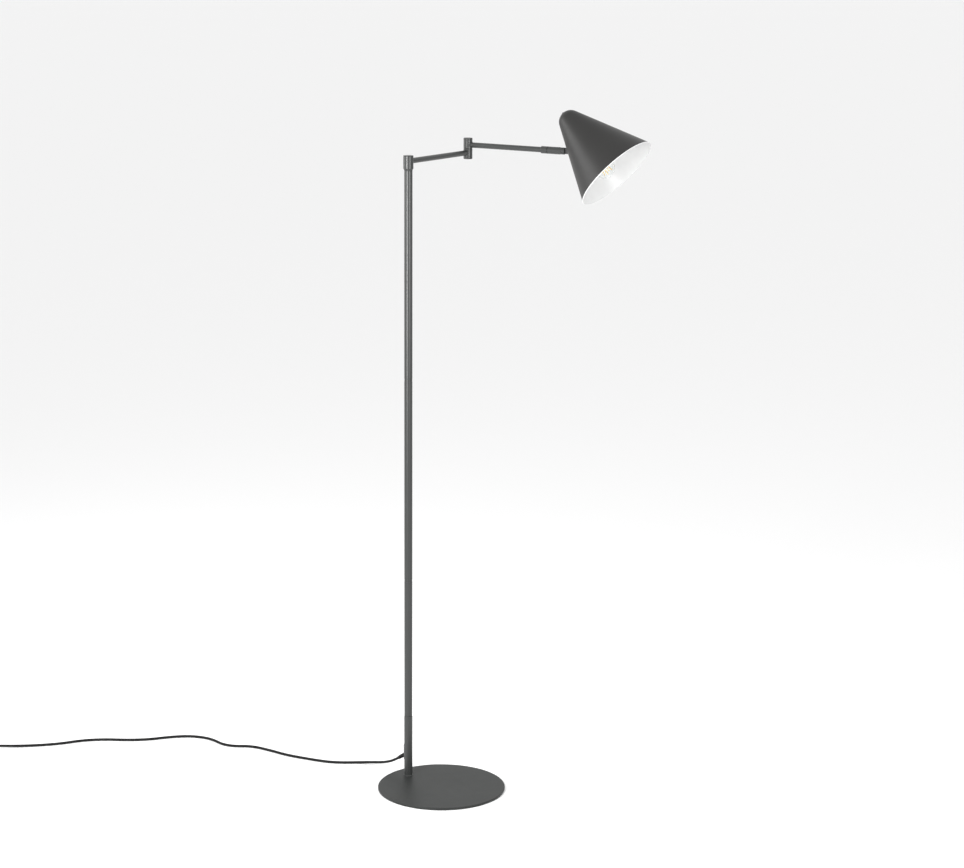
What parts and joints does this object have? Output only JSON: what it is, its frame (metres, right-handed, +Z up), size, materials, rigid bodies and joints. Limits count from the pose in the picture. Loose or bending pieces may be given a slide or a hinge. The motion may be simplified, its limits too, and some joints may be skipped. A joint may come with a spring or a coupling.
{
  "type": "swing-arm floor reading lamp",
  "caption": "Free-standing reading lamp: round foot, off-centre pole, swinging two-part arm and a tilting conical metal shade with a small bulb.",
  "frame": {"origin": "centre of the round foot's underside, on the floor", "axes": "+Z up along the pole; the pole stands on the +Y side of the foot, and the cord leaves towards +Y"},
  "size_m": [1.0999, 1.3386, 1.5081],
  "materials": {
    "graphite_paint": "fine powder coat, low sheen",
    "shade_paint": "graphite powder coat outside, satin white inside",
    "black_plastic": "moulded, fine spark texture",
    "rocker_plastic": "moulded, satin gloss",
    "black_pvc": "soft cord jacket",
    "foam_pad": "closed-cell foam",
    "zinc_steel": "bright zinc plate",
    "nylon": "black nylon",
    "holder_plastic": "white thermoplastic",
    "contact_brass": "stamped",
    "bulb_glass": "clear",
    "bulb_cap": "nickel plate, rolled thread",
    "filament": "yellow phosphor gel",
    "plug_pin": "nickel-plated brass with black sleeves"
  },
  "bodies": {
    "stand": {"foot_plate": "graphite_paint", "foot_pad": "foam_pad", "foot_screw": "zinc_steel", "pole_sleeve": "graphite_paint", "sleeve_plug": "zinc_steel", "exit_grommet": "black_plastic", "cord_boot": "black_pvc", "tube_couplers": "graphite_paint", "lower_tube": "graphite_paint", "middle_tube": "graphite_paint", "upper_tube": "graphite_paint", "pole_spindle": "zinc_steel", "hub_washer": "nylon", "hub_nut": "zinc_steel", "pole_lead": "black_pvc", "mains_cord": "black_pvc", "switch_base": "black_plastic", "switch_cover": "black_plastic", "switch_screws": "zinc_steel", "switch_cord": "black_pvc", "cord_coil": "black_pvc", "coil_tie": "black_pvc", "plug_cord": "black_pvc", "plug_body": "black_plastic", "plug_pins": "plug_pin"},
    "arm_one": {"hub_barrel": "graphite_paint", "hub_cap": "graphite_paint", "arm_one_tube": "graphite_paint", "lower_knuckle": "graphite_paint", "lower_knuckle_cap": "graphite_paint", "knuckle_pin": "zinc_steel", "knuckle_nut": "zinc_steel", "arm_one_lead": "black_pvc"},
    "arm_two": {"knuckle_washer": "nylon", "upper_knuckle": "graphite_paint", "upper_knuckle_cap": "graphite_paint", "arm_two_tube": "graphite_paint", "swivel_collar": "graphite_paint", "swivel_bolt": "zinc_steel", "swivel_washer": "nylon", "swivel_nut": "zinc_steel", "arm_two_lead": "black_pvc"},
    "swivel": {"swivel_sleeve": "graphite_paint", "tilt_screw": "zinc_steel"},
    "head": {"tilt_stem": "black_plastic", "head_nuts": "zinc_steel", "shade_shell": "shade_paint", "shade_button": "black_plastic", "lamp_bracket": "zinc_steel", "holder_nipple": "zinc_steel", "holder_cap": "holder_plastic", "holder_shell": "holder_plastic", "holder_core": "black_plastic", "holder_contact": "contact_brass", "bulb_glass": "bulb_glass", "bulb_cap": "bulb_cap", "bulb_stem": "bulb_glass", "bulb_filaments": "filament", "head_lead": "black_pvc"},
    "rocker": {"switch_rocker": "rocker_plastic"}
  },
  "joints": [
    {"name": "hub_swing", "type": "hinge", "parent": "stand", "child": "arm_one", "pos_m": [0, 0.1034, 1.4], "axis": [0, 0, 1], "range_deg": [-170, 170]},
    {"name": "knuckle_swing", "type": "hinge", "parent": "arm_one", "child": "arm_two", "pos_m": [0.23621, 0.1459, 1.4175], "axis": [0, 0, 1], "range_deg": [-29, 210]},
    {"name": "head_roll", "type": "hinge", "parent": "arm_two", "child": "swivel", "pos_m": [0.27073, -0.06266, 1.4175], "axis": [0.1633, -0.9866, 0], "range_deg": [-120, 120]},
    {"name": "shade_tilt", "type": "hinge", "parent": "swivel", "child": "head", "pos_m": [0.27671, -0.09877, 1.4175], "axis": [-0.9842, -0.1629, -0.0698], "range_deg": [-60, 25]},
    {"name": "switch_rock", "type": "hinge", "parent": "stand", "child": "rocker", "pos_m": [-0.5733, 0.97792, 0.0124], "axis": [0.578, 0.816, 0], "range_deg": [0, 14]}
  ]
}
